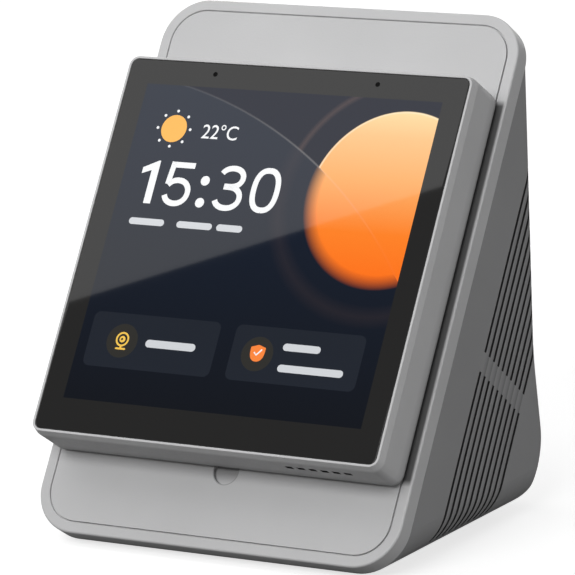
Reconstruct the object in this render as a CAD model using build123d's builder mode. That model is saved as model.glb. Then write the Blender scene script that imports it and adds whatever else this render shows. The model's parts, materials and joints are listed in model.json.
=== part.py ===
"""Smart home hub: a square touch panel clipped to a wedge-shaped desk stand.

Millimetres. +X is the user's right, -Y the front, +Z up. The origin is the centre of the
object's footprint box, on the surface that it stands on. "Face" planes lean back with the
panel: their x is +X, their y runs up the face and their z points out of it, and a depth is
the distance behind the panel's front.
"""
from build123d import *
import os
from math import atan, cos, degrees, radians, sin, tan

os.makedirs("parts", exist_ok=True)

# ---------------------------------------------------------------- driving dimensions
LEAN = 32.5  # lean of the panel behind vertical, degrees
FOOT_PROUD = 0.8  # rubber feet below the shell

PANEL_W, PANEL_H = 84.2, 86.0  # panel housing outside
PANEL_CORNER_R = 2.6
RIM_W, RIM_H = 83.3, 85.1  # front of the rim, inside its long bevel
BEVEL_DEPTH = 2.0
PANEL_DEPTH = 12.0  # rim front to the housing's back edge
PANEL_WALL = 1.3
BACK_EDGE_ROUND = 1.5
GLASS_W, GLASS_H, GLASS_T, GLASS_FRONT = 82.0, 83.75, 1.1, 0.05
GLASS_CORNER_R, GLASS_GAP = 1.4, 0.15
LEDGE_W, LEDGE_H, LEDGE_DEPTH, LEDGE_T = 79.3, 81.0, 1.3, 1.1  # opening behind the glass
MIC_X, MIC_UP, MIC_R = 19.75, 39.45, 0.55
SCREEN_UP = 0.8  # centre of the lit square above the panel's centre
SPEAKER_X, SPEAKER_SLOTS, SPEAKER_PITCH, SPEAKER_DEPTH = 25.6, 6, 2.76, 5.4
SPEAKER_SLOT_W, SPEAKER_SLOT_T = 1.75, 1.4
NOTCH_W, NOTCH_X = 6.6, -0.5

FACE_DEPTH = 12.2  # panel front to stand face, 0.2 of it a gap behind the housing
FACE_W, FACE_H, FACE_UP = 87.3, 121.8, 0.4
FACE_CORNER_R = 10.0
FRAME_DEPTH = 4.3
FRAME_RIM, FRAME_LEDGE = 2.25, 6.0
SEAM = 0.45  # shadow line between the frame and the plate
PLATE_T = 2.4
SCOOP_R, SCOOP_UP = 2.9, -43.4

SHELL_WALL, SHELL_FLOOR = 2.2, 2.6
BACK_Y = 44.9  # vertical back, behind the panel's centre
BACK_EDGE_R = 4.5
FLARE_Z, FLARE_SLOPE = 33.0, 0.14  # the back kicks out below this height
HEEL_R, COVE_R = 15.0, 60.0

VENTS, VENT_PITCH, VENT_W = 10, 2.267, 0.85
VENT_FIRST_DEPTH = 28.75
VENT_UPPER_END, VENT_LOWER_END, VENT_STEP = -7.3, -11.5, -0.22
VENT_BOTTOM_Z, VENT_FROM_BACK, VENT_CUT = 3.2, 1.6, 7.0

BASE_Y, BASE_T = -5.0, 1.6
BASE_W, BASE_D, HATCH_W, HATCH_D = 66.0, 46.0, 57.0, 37.0
FOOT_R, FOOT_SEAT = 5.0, 0.8
BOSS_R, PLATE_BOSS_LEN, THREAD_R, SHANK_R, SCREW_HOLE_R = 2.9, 10.5, 1.05, 1.0, 1.35
HEAD_R, HEAD_T = 2.3, 1.2

PLATE_OPENING = 54.0  # square hole in the plate for the power base
BRACKET_SIDE, BRACKET_T, BRACKET_WINDOW = 74.0, 1.1, 44.0
BRACKET_HOLES = 60.3  # usual spacing of a wall box's two screws
HOOK_W, HOOK_T, HOOK_X, HOOK_UP = 8.0, 1.6, 20.0, 33.5
CASE_SIDE, CASE_DEPTH, CASE_WALL, LID_T = 52.0, 18.0, 1.6, 1.6
POST_R, POST_AT = 2.2, 23.4
POWER_BOARD_W, POWER_BOARD_H, BOARD_T, POWER_BOARD_DEPTH = 48.0, 42.0, 1.6, 16.4
STANDOFF_R, STANDOFF_X, STANDOFF_UP = 2.0, 20.0, 17.0
TERMINAL_AT, TERMINAL_W, TERMINAL_H = (2.0, -15.5), 30.0, 8.0
CONNECTOR_UP, CONNECTOR_W, CONNECTOR_H = -12.0, 26.0, 5.2
PINS, PIN_ROWS, PIN_PITCH, PIN_SIDE = 9, 2, 2.54, 0.6

COVER_DEPTH, COVER_T = 9.3, 1.4
COVER_SCREW_X, COVER_SCREW_UP, COVER_BOSS_R = 38.2, 39.0, 2.2
CHASSIS_DEPTH, CHASSIS_T = 3.95, 0.6
MAIN_BOARD_W, MAIN_BOARD_H, MAIN_BOARD_UP, MAIN_BOARD_DEPTH, MAIN_BOARD_T = 68.0, 60.0, 6.0, 5.6, 1.0
BOARD_SCREW_X, BOARD_SCREW_UP = 30.5, 26.5
SPEAKER_BOX = (21.0, 13.0, 4.4)

GROMMET_Z, GROMMET_R, CORD_R = 16.8, 5.0, 3.1
GROMMET_FLANGE_R, GROMMET_FLANGE_T, GROMMET_WALL = 7.0, 1.2, 3.0
CLAMP_GAP, CLAMP_W, CLAMP_D, CLAMP_T, CLAMP_SCREW_X = 12.0, 23.0, 6.0, 5.0, 8.0

# ---------------------------------------------------------------- derived places
SIN, COS = sin(radians(LEAN)), cos(radians(LEAN))
FRAME_BACK = FACE_DEPTH + FRAME_DEPTH
HEEL_Y = BACK_Y + FLARE_Z * FLARE_SLOPE
HEEL_ANGLE = 90 - degrees(atan(FLARE_SLOPE))
REAR_REACH = HEEL_Y - HEEL_R / tan(radians(HEEL_ANGLE / 2)) + HEEL_R
FRONT_REACH = RIM_H / 2 * SIN
CENTRE_Y = (FRONT_REACH - REAR_REACH) / 2
REAR_Y = CENTRE_Y + REAR_REACH
CENTRE_Z = FOOT_PROUD + (FACE_H / 2 - FACE_UP) * COS + FRAME_BACK * SIN
FACE = Plane(origin=(0, CENTRE_Y, CENTRE_Z), x_dir=(1, 0, 0), z_dir=(0, -COS, SIN))
SIDE_X = FACE_W / 2
FAR = 200.0  # comfortably past the object
LID_DEPTH = FACE_DEPTH
CASE_FRONT = LID_DEPTH + LID_T
CASE_BACK = CASE_FRONT + CASE_DEPTH
BRACKET_DEPTH = FACE_DEPTH - BRACKET_T
COVER_BACK = COVER_DEPTH + COVER_T
GROMMET_SEAT_Y = REAR_Y - GROMMET_FLANGE_T
CLAMP_Y = REAR_Y - CLAMP_GAP


def four(x, y, up=0.0):
    """The four corners at plus and minus x and y, about a centre that may be raised."""
    return [(sx * x, up + sy * y) for sx in (-1, 1) for sy in (-1, 1)]


PLATE_SCREWS = four(38.6, 33.0)
BASE_SCREWS = four(29.2, 19.2, BASE_Y)
FEET = four(23.5, 12.5, BASE_Y)
COVER_SCREWS = four(COVER_SCREW_X, COVER_SCREW_UP)
BOARD_SCREWS = four(BOARD_SCREW_X, BOARD_SCREW_UP, MAIN_BOARD_UP)
BRACKET_SCREWS = [(-BRACKET_HOLES / 2, 0), (BRACKET_HOLES / 2, 0)]
CASE_POSTS = four(POST_AT, POST_AT)
STANDOFFS = four(STANDOFF_X, STANDOFF_UP)
HOOKS = four(HOOK_X, HOOK_UP)
CLAMP_SCREWS = [(-CLAMP_SCREW_X, CLAMP_Y), (CLAMP_SCREW_X, CLAMP_Y)]
HEADER_PINS = [
    ((i - (PINS - 1) / 2) * PIN_PITCH, CONNECTOR_UP + (j - (PIN_ROWS - 1) / 2) * PIN_PITCH)
    for i in range(PINS)
    for j in range(PIN_ROWS)
]


def face(depth):
    """The leaning plane at a depth behind the panel's front."""
    return FACE.offset(-depth)


def finish(piece, name):
    """Label a finished piece and write its STEP file."""
    piece.part.label = name
    export_step(piece.part, f"parts/{name}.step")


def slab(depth, thickness, width, height, radius=0.0, at=((0, 0),), mode=Mode.ADD):
    """Plates parallel to the face, from a depth backwards, in the open part."""
    with BuildSketch(face(depth)) as outline:
        with Locations(*at):
            if radius:
                RectangleRounded(width, height, radius)
            else:
                Rectangle(width, height)
    extrude(outline.sketch, amount=-thickness, mode=mode)


def discs(plane, length, radius, at, mode=Mode.ADD):
    """Round bars from a plane, along its normal, in the open part."""
    with BuildSketch(plane) as outline:
        with Locations(*at):
            Circle(radius)
    extrude(outline.sketch, amount=length, mode=mode)


def countersunk(plane, length, at, head_r=HEAD_R, head_t=HEAD_T, shank_r=SHANK_R):
    """Countersunk screws whose heads lie flush with the plane and point along its normal."""
    discs(plane, -length, shank_r, at)
    with BuildSketch(plane) as top:
        with Locations(*at):
            Circle(head_r)
    extrude(top.sketch, amount=-head_t, taper=degrees(atan((head_r - shank_r) / head_t)) * 0.98)
    with BuildSketch(plane) as cross:
        with Locations(*at):
            Rectangle(head_r * 1.25, head_r * 0.26)
            Rectangle(head_r * 0.26, head_r * 1.25)
    extrude(cross.sketch, amount=-head_t * 0.55, mode=Mode.SUBTRACT)


def pan_head(plane, length, at, head_r=1.9, head_t=0.9, shank_r=0.85):
    """Pan-head screws: heads stand on the plane, shanks run back from it."""
    discs(plane, -length, shank_r, at)
    with BuildSketch(plane) as top:
        with Locations(*at):
            Circle(head_r)
    extrude(top.sketch, amount=head_t, taper=12)
    with BuildSketch(plane.offset(head_t)) as cross:
        with Locations(*at):
            Rectangle(head_r * 1.1, head_r * 0.25)
            Rectangle(head_r * 0.25, head_r * 1.1)
    extrude(cross.sketch, amount=-head_t * 0.7, mode=Mode.SUBTRACT)


def countersinks(plane, depth, at, head_r=HEAD_R, head_t=HEAD_T, hole_r=SCREW_HOLE_R):
    """Holes for countersunk screws, cut from the open part."""
    discs(plane, -depth, hole_r, at, Mode.SUBTRACT)
    with BuildSketch(plane) as top:
        with Locations(*at):
            Circle(head_r + 0.1)
    taper = degrees(atan((head_r - SHANK_R) / head_t)) * 0.98
    extrude(top.sketch, amount=-head_t - 0.1, taper=taper, mode=Mode.SUBTRACT)


def envelope(inset, floor):
    """Solid between the sides: flat bottom, rounded heel, flared back, rounded upright edges."""
    half = SIDE_X - inset
    back = CENTRE_Y + BACK_Y - inset
    knee = CENTRE_Y + HEEL_Y - inset + floor * FLARE_SLOPE
    low = FOOT_PROUD + floor
    with BuildPart() as block:
        with BuildSketch(Plane.YZ):
            with BuildLine():
                FilletPolyline(
                    (-FAR, low),
                    (knee, low),
                    (back, FLARE_Z + FOOT_PROUD),
                    (back, FAR),
                    radius=[HEEL_R - inset, COVE_R],
                )
                Polyline((back, FAR), (-FAR, FAR), (-FAR, low))
            make_face()
        extrude(amount=half, both=True)
        rear = block.edges().filter_by_position(Axis.Y, back - 3 * HEEL_R, FAR)
        uprights = rear.filter_by(lambda e: abs(e.center().X) > half - 0.01 and e.center().Z > low + 0.01)
        fillet(uprights.filter_by(lambda e: e.center().Z < FAR - 1), radius=BACK_EDGE_R - min(inset, 2.0))
    return block.part


def wedge(inset, floor):
    """The leaning face outline run straight back to the envelope."""
    with BuildPart() as body:
        with BuildSketch(face(FRAME_BACK)):
            with Locations((0, FACE_UP)):
                RectangleRounded(
                    FACE_W - 2 * inset, FACE_H - 2 * inset, FACE_CORNER_R - inset * 0.8
                )
        extrude(amount=FAR, dir=(0, 1, 0))
        add(envelope(inset, floor), mode=Mode.INTERSECT)
    return body.part


# ---------------------------------------------------------------- stand: shell
def vent_depth(k):
    return VENT_FIRST_DEPTH + k * VENT_PITCH


def vent_top(k):
    """Upper end of a vent, running on into the back's rounded edge."""
    return (BACK_Y - VENT_FROM_BACK - vent_depth(k) * COS) / SIN


def vent_bottom(k):
    """Lower end of a vent, just above the floor."""
    return (FOOT_PROUD + VENT_BOTTOM_Z - CENTRE_Z + vent_depth(k) * SIN) / COS


def cut_vents():
    """Two rows of slots down each side, parallel to the face."""
    for k in range(VENTS):
        upper = VENT_UPPER_END + k * VENT_STEP
        lower = VENT_LOWER_END + k * VENT_STEP
        for low, high in ((upper, vent_top(k)), (vent_bottom(k), lower)):
            at = [(x, (low + high) / 2) for x in (-SIDE_X + 2.5, SIDE_X - 2.5)]
            slab(vent_depth(k) - VENT_W / 2, VENT_W, VENT_CUT, high - low, at=at, mode=Mode.SUBTRACT)


with BuildPart() as stand_shell:
    add(wedge(0, 0))
    add(wedge(SHELL_WALL, SHELL_FLOOR), mode=Mode.SUBTRACT)
    # bosses behind the frame, tied to the side walls
    discs(face(FRAME_BACK), -PLATE_BOSS_LEN, BOSS_R, PLATE_SCREWS)
    ribs = [(x * 1.06, y) for x, y in PLATE_SCREWS]
    slab(FRAME_BACK, PLATE_BOSS_LEN, 3.4, 2 * BOSS_R, at=ribs)
    discs(face(FRAME_BACK), 1.5 - PLATE_BOSS_LEN, THREAD_R, PLATE_SCREWS, Mode.SUBTRACT)
    # hatch in the floor, with bosses and a recess for the base plate
    discs(Plane.XY.offset(FOOT_PROUD + BASE_T), 4.0, BOSS_R, BASE_SCREWS)
    with BuildSketch(Plane.XY):
        with Locations((0, BASE_Y)):
            RectangleRounded(HATCH_W, HATCH_D, 4.0)
    extrude(amount=FOOT_PROUD + SHELL_FLOOR + 0.01, mode=Mode.SUBTRACT)
    with BuildSketch(Plane.XY):
        with Locations((0, BASE_Y)):
            RectangleRounded(BASE_W + 0.3, BASE_D + 0.3, 5.0)
    extrude(amount=FOOT_PROUD + BASE_T, mode=Mode.SUBTRACT)
    discs(Plane.XY, FOOT_PROUD + BASE_T + 3.4, THREAD_R, BASE_SCREWS, Mode.SUBTRACT)
    # saddle that the cord clamp closes, and the thick seat of the cord grommet
    with BuildSketch(Plane.XY.offset(GROMMET_Z)):
        with Locations((0, CLAMP_Y)):
            Rectangle(CLAMP_W, CLAMP_D)
    extrude(amount=3.6 - GROMMET_Z)
    discs(Plane.XZ.offset(-GROMMET_SEAT_Y), GROMMET_WALL, 8.6, [(0, GROMMET_Z)])
    discs(Plane.XY.offset(GROMMET_Z), -7.0, THREAD_R, CLAMP_SCREWS, Mode.SUBTRACT)
    discs(Plane.XZ.offset(-GROMMET_SEAT_Y), -5.0, GROMMET_FLANGE_R + 0.15, [(0, GROMMET_Z)], Mode.SUBTRACT)
    discs(Plane.XZ.offset(-GROMMET_SEAT_Y), GROMMET_WALL + 3.0, GROMMET_R, [(0, GROMMET_Z)], Mode.SUBTRACT)
    clamp_groove = Plane.XZ.offset(-(CLAMP_Y + CLAMP_D / 2))
    discs(clamp_groove, CLAMP_D, CORD_R, [(0, GROMMET_Z)], Mode.SUBTRACT)
    cut_vents()
finish(stand_shell, "stand_shell")

with BuildPart() as front_frame:
    slab(FACE_DEPTH, FRAME_DEPTH, FACE_W, FACE_H, FACE_CORNER_R, [(0, FACE_UP)])
    inner_w, inner_h = FACE_W - 2 * FRAME_RIM, FACE_H - 2 * FRAME_RIM
    inner_r = FACE_CORNER_R - FRAME_RIM
    slab(FACE_DEPTH, PLATE_T, inner_w, inner_h, inner_r, [(0, FACE_UP)], Mode.SUBTRACT)
    ledge = 2 * FRAME_LEDGE
    slab(FACE_DEPTH, FRAME_DEPTH, inner_w - ledge, inner_h - ledge, 4.0, [(0, FACE_UP)], Mode.SUBTRACT)
    discs(face(FACE_DEPTH), -FRAME_DEPTH, SCREW_HOLE_R, PLATE_SCREWS, Mode.SUBTRACT)
    split(bisect_by=Plane.XZ.offset(-CENTRE_Y - BACK_Y), keep=Keep.TOP)
finish(front_frame, "front_frame")

with BuildPart() as front_plate:
    plate_inset = FRAME_RIM + SEAM
    plate_w, plate_h = FACE_W - 2 * plate_inset, FACE_H - 2 * plate_inset
    slab(FACE_DEPTH, PLATE_T, plate_w, plate_h, FACE_CORNER_R - plate_inset, [(0, FACE_UP)])
    discs(face(FACE_DEPTH), -PLATE_T - 5.0, BOSS_R, BRACKET_SCREWS)
    slab(FACE_DEPTH, PLATE_T, PLATE_OPENING, PLATE_OPENING, 3.0, mode=Mode.SUBTRACT)
    countersinks(face(FACE_DEPTH), PLATE_T, PLATE_SCREWS)
    discs(face(FACE_DEPTH), -PLATE_T - 4.0, THREAD_R, BRACKET_SCREWS, Mode.SUBTRACT)
    discs(face(FACE_DEPTH), -0.9, SCOOP_R, [(0, SCOOP_UP)], Mode.SUBTRACT)
finish(front_plate, "front_plate")

with BuildPart() as plate_screws:
    countersunk(face(FACE_DEPTH), 12.5, PLATE_SCREWS)
finish(plate_screws, "plate_screws")

# ---------------------------------------------------------------- stand: base
with BuildPart() as base_plate:
    with BuildSketch(Plane.XY.offset(FOOT_PROUD)):
        with Locations((0, BASE_Y)):
            RectangleRounded(BASE_W, BASE_D, 4.85)
    extrude(amount=BASE_T)
    under = Plane.XY.offset(FOOT_PROUD).rotated((180, 0, 0))
    discs(Plane.XY.offset(FOOT_PROUD), FOOT_SEAT, FOOT_R + 0.05, FEET, Mode.SUBTRACT)
    countersinks(under, BASE_T, [(x, -y) for x, y in BASE_SCREWS])
finish(base_plate, "base_plate")

with BuildPart() as base_screws:
    countersunk(under, 4.6, [(x, -y) for x, y in BASE_SCREWS])
finish(base_screws, "base_screws")

with BuildPart() as rubber_feet:
    discs(Plane.XY, FOOT_PROUD + FOOT_SEAT, FOOT_R, FEET)
    fillet(rubber_feet.edges().group_by(Axis.Z)[0], radius=0.4)
finish(rubber_feet, "rubber_feet")

# ---------------------------------------------------------------- stand: cord inlet
with BuildPart() as cord_grommet:
    outer = Plane.XZ.offset(-REAR_Y)
    inner_end = GROMMET_FLANGE_T + GROMMET_WALL
    discs(outer, GROMMET_FLANGE_T, GROMMET_FLANGE_R, [(0, GROMMET_Z)])
    discs(outer, inner_end + GROMMET_FLANGE_T, GROMMET_R - 0.02, [(0, GROMMET_Z)])
    discs(outer.offset(inner_end), GROMMET_FLANGE_T, 6.2, [(0, GROMMET_Z)])
    discs(outer, FAR, CORD_R, [(0, GROMMET_Z)], Mode.SUBTRACT)
finish(cord_grommet, "cord_grommet")

with BuildPart() as cord_clamp:
    with BuildSketch(Plane.XY.offset(GROMMET_Z)):
        with Locations((0, CLAMP_Y)):
            RectangleRounded(CLAMP_W, CLAMP_D, 1.5)
    extrude(amount=CLAMP_T)
    discs(clamp_groove, CLAMP_D, CORD_R, [(0, GROMMET_Z)], Mode.SUBTRACT)
    discs(Plane.XY.offset(GROMMET_Z), CLAMP_T, SCREW_HOLE_R, CLAMP_SCREWS, Mode.SUBTRACT)
finish(cord_clamp, "cord_clamp")

with BuildPart() as clamp_screws:
    pan_head(Plane.XY.offset(GROMMET_Z + CLAMP_T), CLAMP_T + 6.0, CLAMP_SCREWS, 2.1, 1.6, SHANK_R)
finish(clamp_screws, "clamp_screws")

# ---------------------------------------------------------------- stand: power base
with BuildPart() as mounting_bracket:
    slab(BRACKET_DEPTH, BRACKET_T, BRACKET_SIDE, BRACKET_SIDE, 4.0)
    slab(BRACKET_DEPTH, BRACKET_T, BRACKET_WINDOW, BRACKET_WINDOW, 2.0, mode=Mode.SUBTRACT)
    slab(BRACKET_DEPTH, BRACKET_T, HOOK_W + 0.8, HOOK_T + 0.8, at=HOOKS, mode=Mode.SUBTRACT)
    countersinks(face(BRACKET_DEPTH), BRACKET_T, BRACKET_SCREWS, 2.2, 1.0)
    countersinks(face(BRACKET_DEPTH), BRACKET_T, CASE_POSTS, 1.9, 0.9)
finish(mounting_bracket, "mounting_bracket")

with BuildPart() as bracket_screws:
    countersunk(face(BRACKET_DEPTH), 7.2, BRACKET_SCREWS, 2.2, 1.0)
finish(bracket_screws, "bracket_screws")

with BuildPart() as power_lid:
    slab(LID_DEPTH, LID_T, CASE_SIDE, CASE_SIDE, 2.5)
    socket_hole = [(0, CONNECTOR_UP)]
    slab(LID_DEPTH, LID_T, CONNECTOR_W + 0.6, CONNECTOR_H + 0.6, at=socket_hole, mode=Mode.SUBTRACT)
    discs(face(LID_DEPTH), -LID_T, SCREW_HOLE_R, CASE_POSTS, Mode.SUBTRACT)
    lid_vents = [(x, up) for x in (-14, -7, 0, 7, 14) for up in (4, 14)]
    slab(LID_DEPTH, LID_T, 1.6, 7.0, 0.75, lid_vents, Mode.SUBTRACT)
finish(power_lid, "power_lid")

with BuildPart() as power_case:
    slab(CASE_FRONT, CASE_DEPTH, CASE_SIDE, CASE_SIDE, 2.5)
    room = CASE_SIDE - 2 * CASE_WALL
    slab(CASE_FRONT, CASE_DEPTH - CASE_WALL, room, room, 1.0, mode=Mode.SUBTRACT)
    discs(face(CASE_FRONT), CASE_WALL / 2 - CASE_DEPTH, POST_R, CASE_POSTS)
    board_back = POWER_BOARD_DEPTH + BOARD_T
    discs(face(board_back), board_back - CASE_BACK + 0.5, STANDOFF_R, STANDOFFS)
    discs(face(CASE_FRONT), -9.0, SHANK_R, CASE_POSTS, Mode.SUBTRACT)
    discs(face(board_back), -6.0, 0.85, STANDOFFS, Mode.SUBTRACT)
    wire_door = [TERMINAL_AT]
    slab(CASE_BACK - 3, 4, TERMINAL_W + 0.4, TERMINAL_H + 0.4, at=wire_door, mode=Mode.SUBTRACT)
    side_slots = [(x, 10.0) for x in (-15, -10, -5, 0, 5, 10, 15)]
    slab(CASE_BACK - 2, 3, 1.8, 12.0, 0.85, side_slots, Mode.SUBTRACT)
finish(power_case, "power_case")

with BuildPart() as lid_screws:
    countersunk(face(BRACKET_DEPTH), 9.5, CASE_POSTS, 1.9, 0.9, SHANK_R - 0.05)
finish(lid_screws, "lid_screws")

with BuildPart() as power_board:
    slab(POWER_BOARD_DEPTH, BOARD_T, POWER_BOARD_W, POWER_BOARD_H, 1.0)
    discs(face(POWER_BOARD_DEPTH), -BOARD_T, 1.1, STANDOFFS, Mode.SUBTRACT)
finish(power_board, "power_board")

with BuildPart() as power_board_screws:
    pan_head(face(POWER_BOARD_DEPTH), 6.0, STANDOFFS, shank_r=0.8)
finish(power_board_screws, "power_board_screws")

with BuildPart() as transformer:
    slab(board_back, 3.0, 14.0, 13.0, 0.5, [(-12, 8)])
    slab(board_back + 3.0, 6.5, 10.0, 9.4, 2.0, [(-12, 8)])
    slab(board_back + 9.5, 2.0, 14.0, 13.0, 0.5, [(-12, 8)])
    slab(board_back + 2.0, 9.0, 4.5, 13.0, 0.5, [(-12, 8)])
finish(transformer, "transformer")

with BuildPart() as relays:
    slab(board_back, 11.5, 9.0, 16.0, 0.6, [(4, 6), (15.2, 6)])
    fillet(relays.faces().sort_by(Axis.Y)[-1].edges(), radius=0.4)
finish(relays, "relays")

with BuildPart() as capacitors:
    discs(face(board_back), -11.0, 3.9, [(-18, -6), (-8.5, -6)])
finish(capacitors, "capacitors")

with BuildPart() as terminal_block:
    slab(board_back, CASE_BACK - 0.9 - board_back, TERMINAL_W, TERMINAL_H, 0.4, [TERMINAL_AT])
    cages = [(TERMINAL_AT[0] + (i - 2) * 6.0, TERMINAL_AT[1]) for i in range(5)]
    slab(CASE_BACK - 5.5, 5.5, 3.6, 3.6, 0.3, [(x, y - 1.6) for x, y in cages], Mode.SUBTRACT)
    discs(face(CASE_BACK - 3.0), -3.0, 1.35, [(x, y + 2.2) for x, y in cages], Mode.SUBTRACT)
finish(terminal_block, "terminal_block")

with BuildPart() as terminal_screws:
    discs(face(CASE_BACK - 3.0), -1.6, 1.25, [(x, y + 2.2) for x, y in cages])
    slots = [(x, y + 2.2) for x, y in cages]
    slab(CASE_BACK - 1.9, 0.5, 2.6, 0.45, at=slots, mode=Mode.SUBTRACT)
finish(terminal_screws, "terminal_screws")

with BuildPart() as board_socket:
    front = FACE_DEPTH - 0.3
    slab(front, POWER_BOARD_DEPTH - front, CONNECTOR_W, CONNECTOR_H, 0.4, [(0, CONNECTOR_UP)])
    slab(front, 5.0, PIN_SIDE + 0.5, PIN_SIDE + 0.5, at=HEADER_PINS, mode=Mode.SUBTRACT)
finish(board_socket, "board_socket")

# ---------------------------------------------------------------- panel: housing and glass
with BuildPart() as panel_housing:
    with BuildSketch(face(0)):
        RectangleRounded(RIM_W, RIM_H, PANEL_CORNER_R - 0.45)
    with BuildSketch(face(BEVEL_DEPTH)):
        RectangleRounded(PANEL_W, PANEL_H, PANEL_CORNER_R)
    loft()
    slab(BEVEL_DEPTH, PANEL_DEPTH - BEVEL_DEPTH, PANEL_W, PANEL_H, PANEL_CORNER_R)
    rear_face = panel_housing.faces().sort_by(Axis((0, 0, 0), (0, COS, -SIN)))[-1]
    fillet(rear_face.edges(), radius=BACK_EDGE_ROUND)
    gap = 2 * GLASS_GAP
    slab(0, LEDGE_DEPTH, GLASS_W + gap, GLASS_H + gap, GLASS_CORNER_R + GLASS_GAP, mode=Mode.SUBTRACT)
    slab(0, PANEL_DEPTH, LEDGE_W, LEDGE_H, 1.0, mode=Mode.SUBTRACT)
    room_w, room_h = PANEL_W - 2 * PANEL_WALL, PANEL_H - 2 * PANEL_WALL
    back_depth = LEDGE_DEPTH + LEDGE_T
    slab(back_depth, PANEL_DEPTH - back_depth, room_w, room_h, 1.4, mode=Mode.SUBTRACT)
    discs(face(back_depth), back_depth - COVER_DEPTH, COVER_BOSS_R, COVER_SCREWS)
    corners = [(x * 1.04, y * 1.04) for x, y in COVER_SCREWS]
    slab(back_depth, COVER_DEPTH - back_depth, 2.6, 2.6, at=corners)
    discs(face(COVER_DEPTH), 5.5, 0.85, COVER_SCREWS, Mode.SUBTRACT)
    # speaker slots and prying notch in the lower wall
    first = SPEAKER_X - (SPEAKER_SLOTS - 1) / 2 * SPEAKER_PITCH
    grille = [(first + i * SPEAKER_PITCH, -PANEL_H / 2) for i in range(SPEAKER_SLOTS)]
    slot_front = SPEAKER_DEPTH - SPEAKER_SLOT_T / 2
    slab(slot_front, SPEAKER_SLOT_T, SPEAKER_SLOT_W, 4.0, at=grille, mode=Mode.SUBTRACT)
    slab(PANEL_DEPTH - 1.1, 1.2, NOTCH_W, 1.6, at=[(NOTCH_X, -PANEL_H / 2)], mode=Mode.SUBTRACT)
finish(panel_housing, "panel_housing")

with BuildPart() as cover_glass:
    slab(GLASS_FRONT, GLASS_T, GLASS_W, GLASS_H, GLASS_CORNER_R)
    discs(face(0), -2.0, MIC_R, [(-MIC_X, MIC_UP), (MIC_X, MIC_UP)], Mode.SUBTRACT)
finish(cover_glass, "cover_glass")

with BuildPart() as glass_tape:
    glass_back = GLASS_FRONT + GLASS_T
    slab(glass_back, LEDGE_DEPTH - glass_back, GLASS_W - 0.6, GLASS_H - 0.6, 1.2)
    slab(glass_back, LEDGE_DEPTH - glass_back, LEDGE_W, LEDGE_H, 1.0, mode=Mode.SUBTRACT)
finish(glass_tape, "glass_tape")

with BuildPart() as lcd_cell:
    slab(glass_back, 1.1, 73.8, 75.0, 0.4, [(0, SCREEN_UP)])
finish(lcd_cell, "lcd_cell")

with BuildPart() as backlight:
    lcd_back = glass_back + 1.1
    slab(lcd_back, 1.6, 72.4, 74.0, 0.6, [(0, SCREEN_UP)])
finish(backlight, "backlight")

with BuildPart() as microphones:
    slab(back_depth, 1.1, 3.6, 2.6, 0.3, [(-MIC_X, 40.1), (MIC_X, 40.1)])
finish(microphones, "microphones")

with BuildPart() as mic_boots:
    boots = [(-MIC_X, MIC_UP), (MIC_X, MIC_UP)]
    discs(face(glass_back), glass_back - back_depth, 0.95, boots)
    discs(face(glass_back), glass_back - back_depth, 0.45, boots, Mode.SUBTRACT)
finish(mic_boots, "mic_boots")

# ---------------------------------------------------------------- panel: inside
FLEX_X, FLEX_W, FLEX_T = -12.0, 18.0, 0.2

with BuildPart() as chassis:
    slab(CHASSIS_DEPTH, CHASSIS_T, 80.8, 82.6, 1.2)
    chassis_back = CHASSIS_DEPTH + CHASSIS_T
    discs(face(chassis_back), chassis_back - MAIN_BOARD_DEPTH, 1.9, BOARD_SCREWS)
    discs(face(CHASSIS_DEPTH), -3.0, 0.85, BOARD_SCREWS, Mode.SUBTRACT)
    discs(face(CHASSIS_DEPTH), -3.0, COVER_BOSS_R + 0.4, COVER_SCREWS, Mode.SUBTRACT)
    slab(CHASSIS_DEPTH, 3.0, 7.4, 7.4, at=corners, mode=Mode.SUBTRACT)
    slab(CHASSIS_DEPTH, 3.0, FLEX_W + 2, 6.0, at=[(FLEX_X, -41.0)], mode=Mode.SUBTRACT)
    slab(CHASSIS_DEPTH, 3.0, SPEAKER_BOX[0] + 1, 16.0, at=[(SPEAKER_X - 0.4, -34.5)], mode=Mode.SUBTRACT)
finish(chassis, "chassis")

with BuildPart() as main_board:
    board_at = [(0, MAIN_BOARD_UP)]
    slab(MAIN_BOARD_DEPTH, MAIN_BOARD_T, MAIN_BOARD_W, MAIN_BOARD_H, 1.5, board_at)
    discs(face(MAIN_BOARD_DEPTH), -MAIN_BOARD_T, 1.05, BOARD_SCREWS, Mode.SUBTRACT)
finish(main_board, "main_board")

with BuildPart() as board_screws:
    main_back = MAIN_BOARD_DEPTH + MAIN_BOARD_T
    board_rear = face(main_back).rotated((180, 0, 0))
    pan_head(board_rear, 2.4, [(x, -y) for x, y in BOARD_SCREWS], 1.7, 0.8, 0.8)
finish(board_screws, "board_screws")

with BuildPart() as shield_can:
    slab(main_back, 1.7, 30.0, 26.0, 0.8, [(-14, 15)])
    slab(main_back, 1.45, 29.5, 25.5, 0.6, [(-14, 15)], Mode.SUBTRACT)
finish(shield_can, "shield_can")

with BuildPart() as thermal_pad:
    slab(main_back + 1.7, COVER_DEPTH - main_back - 1.7, 20.0, 18.0, 0.5, [(-14, 15)])
finish(thermal_pad, "thermal_pad")

with BuildPart() as processor:
    slab(main_back, 1.2, 14.0, 14.0, 0.3, [(-14, 15)])
finish(processor, "processor")

with BuildPart() as pin_header:
    slab(main_back, COVER_BACK + 0.2 - main_back, CONNECTOR_W, CONNECTOR_H, 0.4, [(0, CONNECTOR_UP)])
    slab(main_back + 0.5, FACE_DEPTH + 3.4 - main_back, PIN_SIDE, PIN_SIDE, at=HEADER_PINS)
finish(pin_header, "pin_header")

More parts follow.
